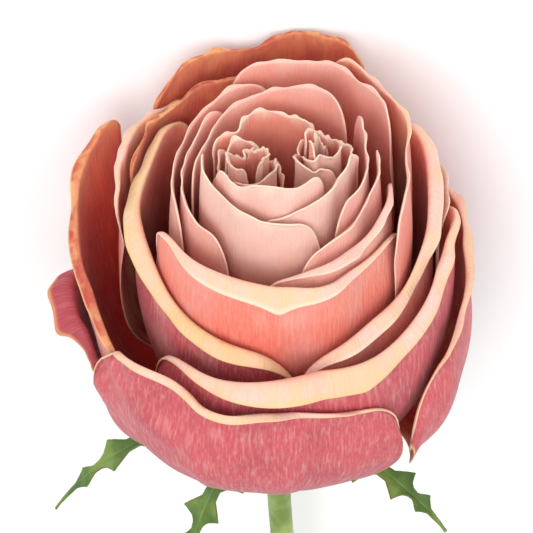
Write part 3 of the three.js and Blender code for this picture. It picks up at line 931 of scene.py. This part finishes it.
            petal.top = lambda azimuth, layer=layer, lift=petal.lift: self._open_height(azimuth, layer) + lift
            surface = petal.surface(self.wrap, Axis(), sizes)
            self._finish_petal(petal, surface)
            self.wrap.add(surface)

    def _open_height(self, azimuth: np.ndarray, layer: float) -> np.ndarray:
        """Return how high a rim stands: level at the back, and falling open towards the front."""
        towards_front = (1 - np.sin(np.radians(azimuth))) / 2
        return self.sizes.stand_height - self.sizes.front_fall * layer**self.sizes.fall_power * towards_front


@dataclass(frozen=True)
class Sepal:
    """A sepal: which way it leaves the hip, how long it is and how far it droops."""

    name: str
    azimuth: float
    length: float
    droop: float


class Greens:
    """The hip, the stem and the sepals."""

    SEGMENTS = 28
    HIP_RINGS = 40
    STEM_RINGS = 120
    BELLY_SHARE = 0.3
    WAIST_SHARE = 0.65
    WAIST_WIDTH = 0.9
    WIDE_RIBS = 0.012
    FINE_RIBS = 0.006
    BLADE_WIDTH = 4.0
    BLADE_KEPT = 0.72
    BLADE_ROOT = 0.5
    LEAST_WIDTH = 0.3
    TOOTH_COUNT = 16
    TOOTH_DEPTH = 0.5
    LOBES = ((0.34, 4.6, 0.11), (0.58, 3.4, 0.09), (0.76, 2.0, 0.07))
    LOBE_POWER = 1.5
    SEPAL_DIP = 3.0
    BEND_SHARE = 0.5
    BEND_DROOP = 0.1
    REACH_SHARE = 0.72
    SHEET_SHARE = 0.6
    CUPPING = 0.2
    CURLING = 0.05
    LOBE_LEAN = 0.35
    LEAN_FROM = 2.4
    RIPPLE = 0.5

    SEPALS = (
        Sepal("sepal_left", 192, 59, 24),
        Sepal("sepal_front", 234, 40, 28),
        Sepal("sepal_right", 322, 52, 10),
        Sepal("sepal_back_right", 34, 36, 22),
        Sepal("sepal_back_left", 118, 34, 26),
    )

    def __init__(self, sizes: Sizes, lying: Lying) -> None:
        """Take the sizes and make the two greens."""
        self.sizes = sizes
        self.lying = lying
        self.leaf = LEAF_GREEN.make()
        self.stalk = STEM_GREEN.make()

    def _round_piece(self, node: str, centres: np.ndarray, radii: np.ndarray) -> None:
        """Sweep a round section along a centre line, with closed ends, by shaping a sphere."""
        rings = len(radii)
        deselect()
        bpy.ops.mesh.primitive_uv_sphere_add(segments=self.SEGMENTS, ring_count=rings + 1, radius=1)
        piece = bpy.context.object
        piece.name = piece.data.name = node + "_grown"
        flat = np.empty(len(piece.data.vertices) * 3)
        piece.data.vertices.foreach_get("co", flat)
        flat = flat.reshape(-1, 3)
        polar = np.arccos(np.clip(flat[:, 2], -1, 1)) / math.pi * (rings + 1) - 1
        index = np.clip(np.rint(polar), 0, rings - 1).astype(int)
        turn = np.arctan2(flat[:, 1], flat[:, 0])
        pole = (np.abs(flat[:, 2]) > 0.99999).astype(float)
        ribs = 1 + self.WIDE_RIBS * np.sin(turn * 5) + self.FINE_RIBS * np.sin(turn * 11 + index * 0.3)
        radius = radii[index] * ribs * (1 - pole)
        points = centres[index].copy()
        points[:, 0] += radius * np.cos(turn)
        points[:, 1] += radius * np.sin(turn)
        laid = self.lying.place(points)
        laid[:, 2] = np.maximum(laid[:, 2], 0)
        piece.data.vertices.foreach_set("co", (laid * MILLIMETRE).ravel())
        piece.data.materials.append(self.stalk)
        piece.data.polygons.foreach_set("use_smooth", [True] * len(piece.data.polygons))
        piece.data.update()
        self._check_outwards(piece)
        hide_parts(node)
        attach(piece, BODY)
        log.info("%s: %d faces", node, len(piece.data.polygons))

    @staticmethod
    def _check_outwards(piece: bpy.types.Object) -> None:
        """Turn a closed piece's faces outwards where its shaping turned it inside out."""
        if sum(p.center.dot(p.normal) * p.area for p in piece.data.polygons) < 0:
            piece.data.flip_normals()

    def hip(self) -> None:
        """Build the hip: a dome under the petals, a round belly and a neck."""
        s = self.sizes
        below = s.hip_length + s.dome_foot
        belly = s.dome_foot - self.BELLY_SHARE * below
        waist = s.dome_foot - self.WAIST_SHARE * below
        waist_radius = s.hip_radius * self.WAIST_WIDTH
        heights = [s.dome_top, s.dome_foot, belly, waist, -s.hip_length]
        radii = [s.dome_top_radius, s.dome_foot_radius, s.hip_radius, waist_radius, s.neck_radius]
        steps = np.linspace(0, 1, self.HIP_RINGS)
        knots = np.linspace(0, 1, len(radii))
        z = np.interp(steps, knots, heights)
        radius = np.interp(steps, knots, radii)
        radius[1:-1] = (radius[:-2] + 2 * radius[1:-1] + radius[2:]) / 4
        self._round_piece("hip", np.stack([0 * z, 0 * z, z], axis=-1), radius)

    def stem(self) -> None:
        """Build the stem from the hip's neck to its cut end."""
        s = self.sizes
        share = np.linspace(0, 1, self.STEM_RINGS)
        depth = s.touch_gap + share * (s.neck_length + s.stem_length)
        neck = 1 - ease(depth / s.neck_length)
        radius = s.stem_radius + (s.cut_end_radius - s.stem_radius) * share
        radius = radius + (s.neck_radius - s.stem_radius) * neck
        bow = s.stem_bow * np.sin(math.pi * share) ** 2
        self._round_piece("stem", np.stack([bow, 0 * bow, -s.hip_length - depth], axis=-1), radius)

    def _half_width(self, share: np.ndarray) -> np.ndarray:
        """Return a sepal's half width along it: a blade with three pairs of pointed lobes and fine teeth."""
        base = self.BLADE_ROOT + (1 - self.BLADE_ROOT) * ease(share / 0.15)
        blade = self.BLADE_WIDTH * np.sqrt(np.maximum(1 - share, 0)) * (1 - 0.5 * share) * base
        lobes = sum(
            size * np.maximum(1 - np.abs(share - place) / reach, 0) ** self.LOBE_POWER
            for place, size, reach in self.LOBES
        )
        teeth = self.TOOTH_DEPTH * ((share * self.TOOTH_COUNT) % 1) * (1 - share)
        return np.maximum(blade * self.BLADE_KEPT + lobes + teeth, self.LEAST_WIDTH)

    def sepals(self) -> None:
        """Build the sepals."""
        s = self.sizes
        for plan in self.SEPALS:
            turn = math.radians(plan.azimuth)
            outward = np.array([math.cos(turn), math.sin(turn), 0])
            sideways = np.array([-math.sin(turn), math.cos(turn), 0])
            root = s.hip_radius + s.touch_gap + s.sepal_thickness
            level = s.dome_foot - self.SEPAL_DIP
            bend_out, bend_height = root + plan.length * self.BEND_SHARE, level - plan.droop * self.BEND_DROOP
            start = outward * root + np.array([0, 0, level])
            bend = outward * bend_out + np.array([0, 0, bend_height])
            tip = outward * (root + plan.length * self.REACH_SHARE) + np.array([0, 0, level - plan.droop])
            t = np.linspace(0, 1, 150)[:, None]
            route = (1 - t) ** 2 * start + 2 * (1 - t) * t * bend + t**2 * tip
            across = np.linspace(-1, 1, 13)
            half = self._half_width(t)
            points = route[:, None, :] + (across * half)[..., None] * sideways
            points[..., 2] += self.CUPPING * np.abs(across) * half
            points[..., 2] -= self.CURLING * (np.abs(across) * half) ** 2
            lean = self.LOBE_LEAN * np.abs(across) * np.maximum(half - self.LEAN_FROM, 0)
            points += outward * lean[..., None]
            points[..., 2] += self.RIPPLE * np.sin(t * 9 + plan.azimuth) * across**2
            laid = self.lying.place(points)
            laid[..., 2] = np.maximum(laid[..., 2], s.sepal_thickness * self.SHEET_SHARE)
            piece = surface_piece(plan.name + "_leafy", laid * MILLIMETRE, t[:, 0])
            piece.data.materials.append(self.leaf)
            thicken(piece, s.sepal_thickness * self.SHEET_SHARE * MILLIMETRE, 1, 0)
            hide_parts(plan.name)
            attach(piece, BODY)
            log.info("%s: %d faces", plan.name, len(piece.data.polygons))

    def build(self) -> None:
        """Build all the green pieces."""
        self.hip()
        self.stem()
        self.sepals()


@dataclass(frozen=True)
class Studio:
    """The pale floor, the soft lights and the camera."""

    elevation: float = 45.0
    distance: float = 0.45
    lens: float = 150.0
    aim: tuple[float, float, float] = (-2.4, 0.0, 32.0)
    floor_size: float = 6.0
    floor_drop: float = 0.0002
    floor_grey: float = 0.93
    lamp_aim: tuple[float, float, float] = (0.0, 0.0, 0.03)
    room_strength: float = 0.7

    def floor(self) -> None:
        """Lay a pale floor under the rose."""
        deselect()
        bpy.ops.mesh.primitive_plane_add(size=self.floor_size, location=(0, 0, -self.floor_drop))
        plane = bpy.context.object
        plane.name = "studio_floor"
        graph = Graph("pale_floor")
        graph.set(Base_Color=(self.floor_grey,) * 3, Roughness=0.9)
        plane.data.materials.append(graph.material)

    @staticmethod
    def _aim(piece: bpy.types.Object, place: Vector, target: Vector, up: Vector) -> None:
        """Set an object at a place, looking at a target, with a chosen way up."""
        back = (place - target).normalized()
        right = up.cross(back).normalized()
        above = back.cross(right)
        turn = Matrix((right, above, back)).transposed()
        piece.matrix_world = Matrix.Translation(place) @ turn.to_4x4()

    def camera(self, lying: Lying) -> None:
        """Look into the bloom from above its front, with the stem running away downwards."""
        e = math.radians(self.elevation)
        target = Vector(lying.place(np.array(self.aim)) * MILLIMETRE)
        towards = Vector(lying.turn(np.array([0.0, -math.cos(e), math.sin(e)])))
        up = Vector(lying.turn(np.array([0.0, math.sin(e), math.cos(e)])))
        data = bpy.data.cameras.new("camera")
        data.lens = self.lens
        camera = bpy.data.objects.new("camera", data)
        bpy.context.collection.objects.link(camera)
        self._aim(camera, target + towards * self.distance, target, up)
        bpy.context.scene.camera = camera

    def lights(self) -> None:
        """Hang two big soft lights and light the room evenly."""
        places = (
            ("key", Vector((0.3, -0.5, 1.2)), 0.9, 10.5),
            ("fill", Vector((-0.8, -0.6, 0.8)), 1.2, 3.5),
        )
        for name, place, size, watts in places:
            data = bpy.data.lights.new(name, "AREA")
            data.size = size
            data.energy = watts
            light = bpy.data.objects.new(name, data)
            bpy.context.collection.objects.link(light)
            self._aim(light, place, Vector(self.lamp_aim), Vector((0, 0, 1)))
        world = bpy.data.worlds.new("room")
        bpy.context.scene.world = world
        world.use_nodes = True
        background = world.node_tree.nodes["Background"]
        background.inputs["Color"].default_value = (1, 1, 1, 1)
        background.inputs["Strength"].default_value = self.room_strength
        bpy.context.scene.view_settings.view_transform = "Standard"


def main() -> None:
    """Build the rose and its studio in order."""
    logging.basicConfig(level=logging.INFO, format="%(message)s")
    lying = Lying(SIZES)
    Bloom(SIZES, lying).build()
    Greens(SIZES, lying).build()
    studio = Studio()
    studio.floor()
    studio.lights()
    studio.camera(lying)


if __name__ == "__main__":
    main()
